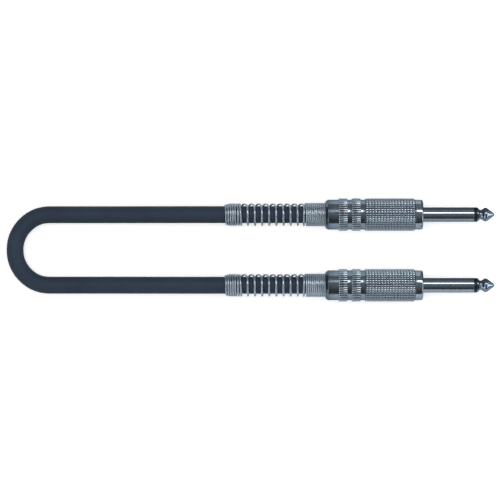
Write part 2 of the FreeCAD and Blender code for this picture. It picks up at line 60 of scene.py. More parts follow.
# Contact end, forward of the shell's front edge.
COLLAR_LENGTH = 3.6
COLLAR_RADIUS = 6.5
COLLAR_ROUND = 1.0
COLLAR_BACK_ROUND = 0.35
SLEEVE_RADIUS = 3.175
SLEEVE_END = 25.8
SLEEVE_EDGE = 0.2
RING_END = 27.2
RING_EDGE = 0.16
ROD_RADIUS = 1.1
LINER_RADIUS = 1.8
FIT_GAP = 0.05

# Tip contact: flange, neck, ball, straight cone and round nose.
TIP_END = 34.7
FLANGE_RADIUS = 2.98
FLANGE_LAND = 0.35
NECK_RADIUS = 2.03
NECK_END = 28.7
BALL_RADIUS = 3.0
BALL_END = 30.85
CONE_START = 31.75
CONE_ANGLE = math.radians(36.5)
NOSE_LAST_ANGLE = 0.02

# Behind the shell's front edge: the threaded spigot and what is riveted on it.
SPIGOT_RADIUS = 5.45
SPIGOT_END = 8.0
RELIEF_END = 0.8
RELIEF_DEPTH = 0.45
THREAD_PITCH = 1.0
THREAD_DEPTH = 0.42
SPIGOT_THREAD_ROWS = 88
BOSS_RADIUS = 2.9
LUG_FACE = 8.75
TIP_LUG_END = 10.55
RIVET_END = 11.25
RIVET_RADIUS = 1.7

# Shell.
KNURL_RADIUS = 7.1
KNURL_EDGE = 0.25
FLUTE_DEPTH = 0.28
ROW_DEPTH = 0.2
SHELL_BORE = 5.5
SHELL_THREAD_START = 0.5
SHELL_THREAD_END = 9.0
SHELL_THREAD_ROWS = 77
SHELL_THREAD_FADE = 0.6
MOUTH_WIDENING = 0.3
FRONT_EDGE_DROP = 0.15
BARREL_LENGTH = 21.5
BAND_LENGTH = 3.75
WAIST_LENGTH = 2.0
WAIST_RADIUS = 6.6
WAIST_HOLLOW = 0.12
WAIST_CORNER = 0.08
WAIST_CORNER_LENGTH = 0.05
REAR_RADIUS = 6.5
REAR_CHAMFER = 1.1
REAR_FACE_RADIUS = 5.8
BANDS = 2
REAR_START = BARREL_LENGTH + BANDS * (WAIST_LENGTH + BAND_LENGTH)
SEAT = SHELL_LENGTH - 5.0
SEAT_STEP = 0.01
SEAT_GAP = 0.1
SPRING_OPENING = 5.2
OPENING_EDGE = 0.15
FLUTES = 42
ROWS = 17
# A band's edge as (distance from its end, drop below the knurl's radius).
BAND_EDGE = [(0.02, 0.2), (0.1, 0.06), (KNURL_EDGE, 0.0)]
# Corners of a groove as (share of the pitch from its middle, depth share).
FLUTE_GROOVE = [(0.03, 1.0), (0.1, 0.64), (0.34, 0.06), (0.4, 0.0)]
ROW_GROOVE = [(0.03, 1.0), (0.08, 0.75), (0.17, 0.12), (0.23, 0.0)]
BORE_COLUMNS = 84

# Spring guard: wire, coils and where its stretches end behind the shell's front edge.
WIRE_THICK = 0.31
WIRE_WIDE = 0.44
FLARE_COIL = 5.12
CLOSE_COIL = 4.78
OPEN_COIL = 4.57
TAIL_COIL = 4.6
TAIL_END_COIL = 4.05
FLARE_START = SEAT - SEAT_GAP - WIRE_WIDE
CLOSE_END = SHELL_LENGTH + 9.0
OPEN_PITCH = 3.1
OPEN_TURNS = 9
LOOSE_PITCH = 1.22
TAIL_END = 82.35
CLOSE_TURNS = 16.78
TAIL_TURNS = 4.67
STEP_TURN = 0.28
STEP_SHARE = 0.75
POINTS_PER_TURN = 48
WIRE_SIDES = 12
WIRE_CREASE = 60.0

# Cable: its layers' radii and where each layer begins behind the shell's front edge.
CABLE_RADIUS = 3.7
CONDUCTOR_RADIUS = 0.5
CORE_RADIUS = 1.6
CARBON_RADIUS = 1.85
SHIELD_RADIUS = 2.45
CONDUCTOR_START = 12.3
CORE_START = 17.9
CARBON_START = 18.9
SHIELD_START = 20.2
JACKET_START = 21.7
LAYER_OVERLAP = 1
LAYER_COLUMNS = 32

# The cable's route in metres, as in the part's source. A point is added on each leg before
# the tail of its spring guard and one before the U, where the cable lies straight.
ROUTE = [
    (0.002055, 0.01535, 0.0071),
    (-0.0558, 0.01535, 0.0071),
    (-0.0800, 0.01535, 0.0071),
    (-0.1040, 0.01535, 0.0037),
    (-0.1288, 0.01535, 0.0037),
    (-0.1414, 0.01535, 0.0037),
    (-0.1502, 0.0063, 0.0037),
    (-0.1502, -0.0063, 0.0037),
    (-0.1414, -0.01535, 0.0037),
    (-0.1288, -0.01535, 0.0037),
    (-0.1040, -0.01535, 0.0037),
    (-0.0800, -0.01535, 0.0071),
    (-0.0558, -0.01535, 0.0071),
    (0.002055, -0.01535, 0.0071),
]

# Camera straight above the middle of the picture.
VIEW_MIDDLE = (-0.04776, -0.00002)
VIEW_WIDTH = 0.21739
VIEW_DISTANCE = 1.2

# Floor in metres, and the light that it sends out by itself, so that it is white to the camera
# and in the metal.
FLOOR_HALF = 6.0
FLOOR_DROP = 0.0001
FLOOR_TOP_UP = 0.42
MIRRORED_TOP_UP = 0.12

# Grey cards: one beside each sleeve, whose far edge mirrors grey in the photograph, and one
# between the shells, which don't mirror each other there.
CARD_FOOT = 3.5
CARD_REACH = 12.5
CARD_LIFT = 0.1
CARD_HEIGHT = 12.0
CARD_PAST_COLLAR = 0.3
CARD_PAST_TIP = 8.0
CARD_LIGHT = 0.2
CARD_BETWEEN_LIGHT = 0.95

# Height in metres at which the lamps aim.
AIM_HEIGHT = 0.007


def place_on_plug(points, side):
    """Plug coordinates, forward of the shell's front edge, across and up, as metres in the frame."""
    return (points + np.array([SHELL_FRONT, side * AXIS_SIDE, AXIS_HEIGHT])) * MM


def closed_grid(grid, ring=False):
    """Corners and polygons of a grid of points that closes over its columns.

    As a ring it closes over its rows too. Otherwise each end row gets a fan to its middle.
    """
    rows, columns = grid.shape[:2]
    first = np.arange(rows if ring else rows - 1)[:, None]
    after = (first + 1) % rows
    near = np.arange(columns)
    far = (near + 1) % columns
    here, next_row = first * columns, after * columns
    corners = [here + near, here + far, next_row + far, next_row + near]
    polygons = [np.stack(corners, axis=-1).reshape(-1, 4)]
    points = grid.reshape(-1, 3)
    if not ring:
        middles = np.stack([grid[0].mean(axis=0), grid[-1].mean(axis=0)])
        last = (rows - 1) * columns
        for middle, row, way in ((len(points), 0, -1), (len(points) + 1, last, 1)):
            fan = np.stack([np.full(columns, middle), row + near, row + far], axis=-1)
            polygons.append(fan[:, ::way])
        points = np.concatenate([points, middles])
    return points, polygons


def mark_points(values, rows, columns, ring=False):
    """A mark's numbers, one for each row or each point of a grid, as one for each mesh corner."""
    if values.ndim == 1:
        values = values[:, None]
    values = np.broadcast_to(values, (rows, columns))
    if ring:
        return values.ravel()
    return np.concatenate([values.ravel(), [values[0].mean(), values[-1].mean()]])


def signed_volume(points, polygons):
    """Volume inside the faces: a sixth of the sum of corner products over fans of triangles."""
    total = 0.0
    for polygon in polygons:
        start = points[polygon[:, 0]]
        for second in range(1, polygon.shape[1] - 1):
            product = np.cross(points[polygon[:, second]], points[polygon[:, second + 1]])
            total += (start * product).sum() / 6
    return total


def new_piece(name, points, polygons, finish, marks, crease=35.0):
    """Mesh object from corners in metres and arrays of equal polygons, its faces outwards.

    Edges that turn by more than the crease, in degrees, are shaded sharp.
    """
    if signed_volume(points, polygons) < 0:
        polygons = [polygon[:, ::-1] for polygon in polygons]
    mesh = bpy.data.meshes.new(name)
    mesh.vertices.add(len(points))
    mesh.vertices.foreach_set("co", points.ravel())
    corners = np.concatenate([polygon.ravel() for polygon in polygons])
    mesh.loops.add(len(corners))
    mesh.loops.foreach_set("vertex_index", corners)
    sizes = np.concatenate([np.full(len(polygon), polygon.shape[1]) for polygon in polygons])
    mesh.polygons.add(len(sizes))
    mesh.polygons.foreach_set("loop_start", np.concatenate([[0], np.cumsum(sizes)[:-1]]))
    mesh.polygons.foreach_set("use_smooth", np.ones(len(sizes), bool))
    mesh.update(calc_edges=True)
    mesh.set_sharp_from_angle(angle=math.radians(crease))
    for label, values in marks.items():
        mesh.attributes.new(label, "FLOAT", "POINT").data.foreach_set("value", values)
    mesh.materials.append(finish)
    piece = bpy.data.objects.new(name, mesh)
    bpy.context.scene.collection.objects.link(piece)
    return piece


def rounded(corners, closed=False, steps=6):
    """Profile through (along, radius, rounding) corners, each turned by a curve of its rounding.

    The curve is a parabola between points on both sides, each rounding / tan(half the corner's
    angle) away, or 0.45 of the shorter side where that is less. Returns the profile's points
    and, for each, 1 on a curve and 0 elsewhere.
    """
    places = np.array([corner[:2] for corner in corners], float)
    points, edges = [], []
    for index, (along, radius, rounding) in enumerate(corners):
        here = places[index]
        if rounding == 0 or (not closed and index in (0, len(corners) - 1)):
            points.append(here[None])
            edges.append([0.0])
            continue
        before = places[index - 1] - here
        after = places[(index + 1) % len(corners)] - here
        shorter = min(np.linalg.norm(before), np.linalg.norm(after))
        before, after = before / np.linalg.norm(before), after / np.linalg.norm(after)
        half = np.arccos(np.clip(before @ after, -1, 1)) / 2
        reach = min(rounding / np.tan(half), 0.45 * shorter)
        share = np.linspace(0, 1, steps)[:, None]
        start, end = here + before * reach, here + after * reach
        points.append((1 - share) ** 2 * start + 2 * share * (1 - share) * here + share ** 2 * end)
        edges.append(np.ones(steps))
    return np.concatenate(points), np.concatenate(edges)


def length_along(profile):
    """Length along a profile, in millimetres, up to each of its points."""
    steps = np.linalg.norm(np.diff(profile, axis=0), axis=1)
    return np.concatenate([[0.0], np.cumsum(steps)])


def turned(along, radius, columns, around=None):
    """Surface of revolution about a plug's axis.

    x = along, y = radius * cos(angle), z = radius * sin(angle); the radius may differ from
    column to column, and the columns stand at equal angles or at the given shares of a turn.
    """
    angle = 2 * np.pi * (np.arange(columns) / columns if around is None else around)
    if radius.ndim == 1:
        radius = np.repeat(radius[:, None], columns, axis=1)
    forward = np.repeat(along[:, None], columns, axis=1)
    return np.stack([forward, radius * np.cos(angle), radius * np.sin(angle)], axis=-1)


def turned_piece(name, side, profile, edges, finish, ring=False, columns=COLUMNS, radius=None):
    """One lathe-turned piece of a plug from its profile, or with a radius for each point."""
    grid = turned(profile[:, 0], profile[:, 1] if radius is None else radius, columns)
    points, polygons = closed_grid(place_on_plug(grid, side), ring)
    marks = {
        "edge": mark_points(edges, len(profile), columns, ring),
        "along": mark_points(length_along(profile), len(profile), columns, ring),
    }
    return new_piece(name, points, polygons, finish, marks)


def wire_along(path, thick, wide, sides):
    """Slightly flat wire along a path, as a row of points round each point of the path.

    Point = path + thick * cos(angle) * normal + wide * sin(angle) * binormal. The normal is the
    path point's direction from the plug's axis, made square to the path.
    """
    tangent = np.gradient(path, axis=0)
    tangent /= np.linalg.norm(tangent, axis=1, keepdims=True)
    normal = path * [0, 1, 1]
    normal = normal - (normal * tangent).sum(axis=1, keepdims=True) * tangent
    normal /= np.linalg.norm(normal, axis=1, keepdims=True)
    binormal = np.cross(tangent, normal)
    angle = 2 * np.pi * np.arange(sides)[:, None] / sides
    outward = thick * np.cos(angle) * normal[:, None]
    sideways = wide * np.sin(angle) * binormal[:, None]
    return path[:, None] + outward + sideways


# Finishes

def new_group(name, inputs, outputs):
    """An empty shader group with float or vector sockets, and its input and output nodes."""
    group = bpy.data.node_groups.new(name, "ShaderNodeTree")
    for label, kind, default in inputs:
        socket = group.interface.new_socket(label, in_out="INPUT", socket_type=kind)
        if default is not None:
            socket.default_value = default
    for label in outputs:
        group.interface.new_socket(label, in_out="OUTPUT", socket_type="NodeSocketFloat")
    return group, group.nodes.new("NodeGroupInput"), group.nodes.new("NodeGroupOutput")


def add(tree, kind, settings=None, **inputs):
    """A node of that kind with its settings, its inputs set to values or linked from sockets.

    An input is named with _ for each space, or by _ and its number.
    """
    node = tree.nodes.new("ShaderNode" + kind)
    for label, value in (settings or {}).items():
        setattr(node, label, value)
    for label, value in inputs.items():
        key = int(label[1:]) if label[1:].isdigit() else label.replace("_", " ")
        socket = node.inputs[key]
        if isinstance(value, bpy.types.NodeSocket):
            tree.links.new(value, socket)
        else:
            socket.default_value = value
    return node


def calculate(tree, operation, first, second=0.0, third=0.0, clamp=False):
    """Output socket of a Math node."""
    settings = {"operation": operation, "use_clamp": clamp}
    return add(tree, "Math", settings, _0=first, _1=second, _2=third).outputs[0]


def ramp(tree, value, low, high, start=0.0, end=1.0):
    """Number from start to end as the value goes from low to high, held at both ends."""
    node = add(tree, "MapRange", {"clamp": True}, Value=value)
    for label, number in (("From Min", low), ("From Max", high), ("To Min", start), ("To Max", end)):
        node.inputs[label].default_value = number
    return node.outputs["Result"]


def turning_lines():
    """Fine lines that a lathe tool leaves round a turned piece, from its length-along mark."""
    inputs = [("Lines Per Millimetre", "NodeSocketFloat", 9.0)]
    group, given, result = new_group("turning_lines", inputs, ["Height"])
    along = add(group, "Attribute", {"attribute_name": "along"}).outputs["Fac"]
    place = calculate(group, "MULTIPLY", along, given.outputs["Lines Per Millimetre"])
    noise = add(group, "TexNoise", {"noise_dimensions": "1D"}, W=place, Scale=1.0, Detail=2.0)
    group.links.new(noise.outputs["Fac"], result.inputs["Height"])
    return group


def worn_edges():
    """Mask of rubbed corners: the edge mark, broken up by blotches."""
    inputs = [("Vector", "NodeSocketVector", None), ("Blotches", "NodeSocketFloat", 900.0)]
    group, given, result = new_group("worn_edges", inputs, ["Mask"])
    edge = add(group, "Attribute", {"attribute_name": "edge"}).outputs["Fac"]
    noise = add(group, "TexNoise", Vector=given.outputs["Vector"], Scale=given.outputs["Blotches"],
                Detail=3.0)
    patches = ramp(group, noise.outputs["Fac"], 0.35, 0.65, 0.35, 0.65)
    group.links.new(calculate(group, "MULTIPLY", edge, patches), result.inputs["Mask"])
    return group


def handling_marks():
    """Mask of faint smears, and the height of hair scratches, that handling leaves on metal."""
    inputs = [("Vector", "NodeSocketVector", None), ("Smear Scale", "NodeSocketFloat", 180.0)]
    group, given, result = new_group("handling_marks", inputs, ["Smears", "Scratches"])
    vector = given.outputs["Vector"]
    smear = add(group, "TexNoise", Vector=vector, Scale=given.outputs["Smear Scale"], Detail=4.0,
                Distortion=0.8)
    group.links.new(ramp(group, smear.outputs["Fac"], 0.45, 0.75), result.inputs["Smears"])
    stretched = add(group, "Mapping", Vector=vector, Rotation=(0.3, 0.5, 0.9),
                    Scale=(60.0, 2400.0, 900.0))
    hair = add(group, "TexNoise", Vector=stretched.outputs["Vector"], Scale=1.0, Detail=1.0)
    group.links.new(ramp(group, hair.outputs["Fac"], 0.66, 0.72), result.inputs["Scratches"])
    return group


def fine_grain():
    """Height of a moulded or drawn plastic's fine pebbling, and a mask of slow shade changes."""
    inputs = [("Vector", "NodeSocketVector", None), ("Grain Scale", "NodeSocketFloat", 4000.0),
              ("Shade Scale", "NodeSocketFloat", 60.0)]
    group, given, result = new_group("fine_grain", inputs, ["Height", "Shade"])
    vector = given.outputs["Vector"]
    grain = add(group, "TexNoise", Vector=vector, Scale=given.outputs["Grain Scale"], Detail=3.0,
                Roughness=0.6)
    shade = add(group, "TexNoise", Vector=vector, Scale=given.outputs["Shade Scale"], Detail=2.0)
    group.links.new(grain.outputs["Fac"], result.inputs["Height"])
    group.links.new(ramp(group, shade.outputs["Fac"], 0.3, 0.7), result.inputs["Shade"])
    return group


# Shares and amounts that the finishes have in common; the bump's depth is in metres.
EDGE_ON_CROWN = 0.2
CROWN_RUB = 0.8
SATIN_SHADE = 0.85
SATIN_ROUGHNESS = 0.05
SCRATCH_DEPTH = 0.12
BUMP_DEPTH = 0.00001
PEBBLE_ROUGHNESS = 0.06
PEBBLE_STRENGTH = 0.3

TURNING_LINES = turning_lines()
WORN_EDGES = worn_edges()
HANDLING_MARKS = handling_marks()
FINE_GRAIN = fine_grain()


def use_group(tree, group, **inputs):
    """A group placed in a material, with its own values."""
    return add(tree, "Group", {"node_tree": group}, **inputs)


def new_material(name, **sockets):
    """A material with its node tree and its shader, whose inputs are set."""
    material = bpy.data.materials.new(name)
    material.use_nodes = True
    shader = material.node_tree.nodes["Principled BSDF"]
    for label, value in sockets.items():
        shader.inputs[label.replace("_", " ")].default_value = value
    return material, material.node_tree, shader


def blend_colour(tree, share, first, second):
    """Colour from first to second by the share."""
    node = add(tree, "Mix", {"data_type": "RGBA"}, _0=share)
    for label, colour in (("A", first), ("B", second)):
        socket = [socket for socket in node.inputs if socket.name == label and socket.type == "RGBA"][0]
        if isinstance(colour, bpy.types.NodeSocket):
            tree.links.new(colour, socket)
        else:
            socket.default_value = (*colour, 1.0)
    return [socket for socket in node.outputs if socket.type == "RGBA"][0]


def add_bump(tree, shader, height, strength, depth):
    """Bump of that depth in metres on the shader's normal."""
    bump = add(tree, "Bump", Strength=strength, Distance=depth, Height=height)
    tree.links.new(bump.outputs["Normal"], shader.inputs["Normal"])


def metal_finish(name, colour, bright, smooth, rough, lines=9.0, line_strength=0.25, hollow=None,
                 **sockets):
    """Turned, plated or drawn metal: rubbed edges, smears, hair scratches and turning lines.

    Corners and crowns are rubbed towards the bright colour. Grooves, and the flanks of touching
    wire turns, are darkened towards the hollow colour as painted shade, and satin faces towards
    it too; smears take the roughness from smooth to rough.
    """
    material, tree, shader = new_material(name, Metallic=1.0, **sockets)
    coordinates = add(tree, "TexCoord").outputs["Object"]
    edges = use_group(tree, WORN_EDGES, Vector=coordinates).outputs["Mask"]
    marks = use_group(tree, HANDLING_MARKS, Vector=coordinates)
    crown = add(tree, "Attribute", {"attribute_name": "crown"}).outputs["Fac"]
    rubbed = calculate(tree, "MULTIPLY", edges, EDGE_ON_CROWN)
    rubbed = calculate(tree, "MULTIPLY_ADD", crown, CROWN_RUB, rubbed, clamp=True)
    tone = blend_colour(tree, calculate(tree, "MAXIMUM", edges, rubbed), colour, bright)
    roughness = ramp(tree, marks.outputs["Smears"], 0.0, 1.0, smooth, rough)
    # Painted shade: where the hollow mark is high (knurl grooves, flanks of touching wire turns) the
    # colour goes towards the hollow colour; the satin rear is darkened towards it as well.
    if hollow:
        sunk = add(tree, "Attribute", {"attribute_name": "hollow"}).outputs["Fac"]
        satin = add(tree, "Attribute", {"attribute_name": "satin"}).outputs["Fac"]
        painted_shade_and_satin = calculate(tree, "MULTIPLY", satin, SATIN_SHADE)
        painted_shade_and_satin = calculate(tree, "MAXIMUM", ramp(tree, sunk, 0.35, 0.75), painted_shade_and_satin)
        tone = blend_colour(tree, painted_shade_and_satin, tone, hollow)
        roughness = calculate(tree, "MULTIPLY_ADD", satin, SATIN_ROUGHNESS, roughness)
    tree.links.new(tone, shader.inputs["Base Color"])
    tree.links.new(roughness, shader.inputs["Roughness"])
    turning = use_group(tree, TURNING_LINES, Lines_Per_Millimetre=lines).outputs["Height"]
    height = calculate(tree, "MULTIPLY_ADD", marks.outputs["Scratches"], -SCRATCH_DEPTH, turning)
    add_bump(tree, shader, height, line_strength, BUMP_DEPTH)
    return material


def plastic_finish(name, dark, light, rough, depth=BUMP_DEPTH, **sockets):
    """Moulded or drawn plastic: slow shade changes and a fine pebbled surface."""
    material, tree, shader = new_material(name, **sockets)
    coordinates = add(tree, "TexCoord").outputs["Object"]
    pattern = use_group(tree, FINE_GRAIN, Vector=coordinates)
    height = pattern.outputs["Height"]
    tone = blend_colour(tree, pattern.outputs["Shade"], dark, light)
    tree.links.new(tone, shader.inputs["Base Color"])
    roughness = ramp(tree, height, 0.3, 0.7, rough - PEBBLE_ROUGHNESS, rough + PEBBLE_ROUGHNESS)
    tree.links.new(roughness, shader.inputs["Roughness"])
    add_bump(tree, shader, height, PEBBLE_STRENGTH, depth)
    return material


EDGE_TINT = (0.36, 0.42, 0.48, 1.0)
NICKEL_CONTACT = metal_finish("nickel_contact", (0.175, 0.23, 0.295), (0.34, 0.4, 0.46), 0.09, 0.13,
                              line_strength=0.05, Specular_Tint=EDGE_TINT)
# The shell's hollow colour is painted shade for the knurl's grooves.
NICKEL_SHELL = metal_finish("nickel_shell", (0.195, 0.247, 0.305), (0.48, 0.555, 0.63), 0.13, 0.21,
                            line_strength=0.08, hollow=(0.092, 0.128, 0.17), Specular_Tint=EDGE_TINT)
# The spring's hollow colour is painted shade on the flanks of touching turns.
SPRING_STEEL = metal_finish("spring_steel", (0.35, 0.415, 0.485), (0.44, 0.5, 0.56), 0.33, 0.41,
                            lines=0.4, line_strength=0.1, hollow=(0.09, 0.11, 0.135),
                            Specular_Tint=EDGE_TINT)
TINNED_LUG = metal_finish("tinned_lug", (0.6, 0.6, 0.58), (0.7, 0.7, 0.68), 0.3, 0.45)
SOLDER = metal_finish("solder", (0.55, 0.55, 0.54), (0.65, 0.65, 0.64), 0.22, 0.5)
COPPER = metal_finish("copper_wire", (0.75, 0.37, 0.22), (0.85, 0.5, 0.34), 0.25, 0.45)
JACKET = plastic_finish("cable_jacket", (0.0185, 0.0295, 0.048), (0.0245, 0.0385, 0.061), 0.6,
                        depth=0.00003, Specular_IOR_Level=0.12)
BLACK_RING = plastic_finish("black_moulding", (0.004, 0.005, 0.007), (0.008, 0.01, 0.013), 0.35,
                            Specular_IOR_Level=0.3, Specular_Tint=(0.65, 0.86, 1.0, 1.0))
FIBRE = plastic_finish("fibre_washer", (0.35, 0.12, 0.05), (0.45, 0.17, 0.08), 0.7)
SLEEVING = plastic_finish("clear_sleeving", (0.7, 0.68, 0.6), (0.78, 0.76, 0.68), 0.25)
CORE_PLASTIC = plastic_finish("core_plastic", (0.72, 0.7, 0.64), (0.8, 0.78, 0.72), 0.35)
CARBON_PLASTIC = plastic_finish("carbon_plastic", (0.012, 0.012, 0.013), (0.02, 0.02, 0.021), 0.55)


# Pieces of a plug

def tip_profile():
    """Tip from its rod's rivet to the nose, as (along, radius).

    Neck: flange falling to the neck as neck + (flange - neck) * (1 - u)^1.7. Ball: a rise of
    sin^2(u * 90 degrees). A parabola bends the ball into the cone, and the nose is the circle
    that touches the cone and ends at the tip.
    """
    rod = [(-RIVET_END, ON_AXIS, 0), (-RIVET_END, RIVET_RADIUS, 0.35),
           (-TIP_LUG_END, RIVET_RADIUS, 0), (-TIP_LUG_END, ROD_RADIUS, 0), (RING_END, ROD_RADIUS, 0),
           (RING_END, FLANGE_RADIUS, 0.1), (RING_END + FLANGE_LAND, FLANGE_RADIUS, 0)]
    back, edges = rounded(rod)
    share = np.linspace(0, 1, 12)[1:]
    along = RING_END + FLANGE_LAND + share * (NECK_END - RING_END - FLANGE_LAND)
    radius = NECK_RADIUS + (FLANGE_RADIUS - NECK_RADIUS) * (1 - share) ** 1.7
    neck = np.stack([along, radius], axis=1)
    share = np.linspace(0, 1, 14)[1:]
    along = NECK_END + share * (BALL_END - NECK_END)
    radius = NECK_RADIUS + (BALL_RADIUS - NECK_RADIUS) * np.sin(share * np.pi / 2) ** 2
    ball = np.stack([along, radius], axis=1)
    slope, span = math.tan(CONE_ANGLE), CONE_START - BALL_END
    share = np.linspace(0, 1, 8)[1:]
    bend = np.stack([BALL_END + share * span, BALL_RADIUS - slope * span * share ** 2 / 2], axis=1)
    at_end = bend[-1, 1] - slope * (TIP_END - CONE_START)
    nose = at_end * math.cos(CONE_ANGLE) / (1 - math.sin(CONE_ANGLE))
    angle = np.linspace(math.pi / 2 - CONE_ANGLE, NOSE_LAST_ANGLE, 12)
    cap = np.stack([TIP_END - nose + nose * np.cos(angle), nose * np.sin(angle)], axis=1)
    share = np.linspace(0, 1, 6)[1:-1, None]
    cone = bend[-1] + share * (cap[0] - bend[-1])
    front = np.concatenate([neck, ball, bend, cone, cap])
    return np.concatenate([back, front]), np.concatenate([edges, np.zeros(len(front))])


def contact_tip(plug, side):
    """Tip contact with its rod, riveted over at the back."""
    profile, edges = tip_profile()
    piece = turned_piece("contact_tip_" + plug, side, profile, edges, NICKEL_CONTACT)
    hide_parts("plug_tip_" + plug)
    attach(piece, "root")


def ring_moulding(plug, side):
    """Black ring between tip and sleeve, with the liner round the rod."""
    bore = ROD_RADIUS + FIT_GAP
    corners = [(-LUG_FACE, bore, 0), (RING_END, bore, 0), (RING_END, SLEEVE_RADIUS, RING_EDGE),
               (SLEEVE_END, SLEEVE_RADIUS, 0.05), (SLEEVE_END, LINER_RADIUS, 0),
               (-LUG_FACE, LINER_RADIUS, 0)]
    profile, edges = rounded(corners, closed=True)
    piece = turned_piece("ring_moulding_" + plug, side, profile, edges, BLACK_RING, ring=True)
    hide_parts("tip_insulator_" + plug)
    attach(piece, "root")


def thread_hollow(along, angle):
    """Depth share of a right-handed thread.

    It is a flat-topped wave: 1.5 * triangle - 0.25, held to 0 and 1, with the triangle running over
    along / pitch - angle / turn.
    """
    turn = along / THREAD_PITCH - angle / (2 * np.pi)
    wave = np.abs(2 * (turn - np.floor(turn)) - 1)
    return np.clip(1.5 * wave - 0.25, 0, 1)


def sleeve_body(plug, side):
    """Sleeve contact, rounded collar, threaded spigot and staking boss in one turned piece."""
    bore = LINER_RADIUS + FIT_GAP
    front = [(-LUG_FACE, bore, 0), (SLEEVE_END, bore, 0), (SLEEVE_END, SLEEVE_RADIUS, SLEEVE_EDGE),
             (COLLAR_LENGTH, SLEEVE_RADIUS, 0.1), (COLLAR_LENGTH, COLLAR_RADIUS, COLLAR_ROUND),
             (0, COLLAR_RADIUS, COLLAR_BACK_ROUND), (0, SPIGOT_RADIUS - RELIEF_DEPTH, 0.1),
             (-RELIEF_END, SPIGOT_RADIUS - RELIEF_DEPTH, 0)]
    rear = [(-SPIGOT_END, SPIGOT_RADIUS - RELIEF_DEPTH, 0), (-SPIGOT_END, BOSS_RADIUS, 0.08),
            (-LUG_FACE, BOSS_RADIUS, 0.2), (-LUG_FACE, bore, 0)]
    front_profile, front_edges = rounded(front)
    rear_profile, rear_edges = rounded(rear)
    along = np.linspace(-RELIEF_END, -SPIGOT_END, SPIGOT_THREAD_ROWS)[1:-1]
    thread = np.stack([along, np.full(len(along), SPIGOT_RADIUS)], axis=1)
    profile = np.concatenate([front_profile, thread, rear_profile[:-1]])
    edges = np.concatenate([front_edges, np.zeros(len(thread)), rear_edges[:-1]])
    radius = np.repeat(profile[:, 1:], COLUMNS, axis=1)
    angle = 2 * np.pi * np.arange(COLUMNS) / COLUMNS
    hollow = thread_hollow(along[:, None], angle)
    cut = np.minimum(along + SPIGOT_END, -RELIEF_END - along)[:, None]
    crest = SPIGOT_RADIUS - np.clip(RELIEF_DEPTH - cut, 0, None)
    rows = slice(len(front_profile), len(front_profile) + len(along))
    radius[rows] = np.minimum(crest, SPIGOT_RADIUS - THREAD_DEPTH * hollow)
    piece = turned_piece("sleeve_body_" + plug, side, profile, edges, NICKEL_CONTACT, ring=True,
                         radius=radius)
    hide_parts("plug_body_" + plug)
    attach(piece, "root")


def groove(corners):
    """Places over one pitch, from groove middle to groove middle, and the depth share at each."""
    shares, depths = np.array(corners).T
    return np.concatenate([shares, 1 - shares[::-1]]), np.concatenate([depths, depths[::-1]])


def shell_stations():
    """Outer rows of the shell as (back, radius, fluted, row groove, edge), front to rear."""
    pitch = BARREL_LENGTH / ROWS
    steps, depths = groove(ROW_GROOVE)
    stations = [(0.0, KNURL_RADIUS - KNURL_EDGE - FRONT_EDGE_DROP, 0, 0, 1)]
    for place in range(ROWS):
        for step, depth in zip(steps, depths):
            back = (place + step) * pitch
            rim = max(KNURL_EDGE - back, KNURL_EDGE - (BARREL_LENGTH - back), 0)
            stations.append((back, KNURL_RADIUS - rim, 1, depth, 0))
    back = BARREL_LENGTH
    far_edge = [(BAND_LENGTH - step, drop) for step, drop in reversed(BAND_EDGE)]
    for _ in range(BANDS):
        stations.append((back, WAIST_RADIUS + WAIST_CORNER, 0, 0, 1))
        for share in np.linspace(0, 1, 11):
            place = back + WAIST_CORNER_LENGTH + share * (WAIST_LENGTH - 2 * WAIST_CORNER_LENGTH)
            stations.append((place, WAIST_RADIUS - WAIST_HOLLOW * math.sin(math.pi * share), 0, 0, 0))
        back += WAIST_LENGTH
        stations.append((back, WAIST_RADIUS + WAIST_CORNER, 0, 0, 1))
        for step, drop in BAND_EDGE + [(0.5 * BAND_LENGTH, 0.0)] + far_edge:
            stations.append((back + step, KNURL_RADIUS - drop, 1, 0, 0))
        back += BAND_LENGTH
    rear = [(-back, REAR_RADIUS, 0), (-(SHELL_LENGTH - REAR_CHAMFER), REAR_RADIUS, 0.35),
            (-SHELL_LENGTH, REAR_FACE_RADIUS, 0.2), (-SHELL_LENGTH, SPRING_OPENING + OPENING_EDGE, 0)]
    profile, edges = rounded(rear, steps=7)
    for (along, radius), edge in zip(profile, edges):
        stations.append((-along, radius, 0, 0, edge))
    return np.array(stations)


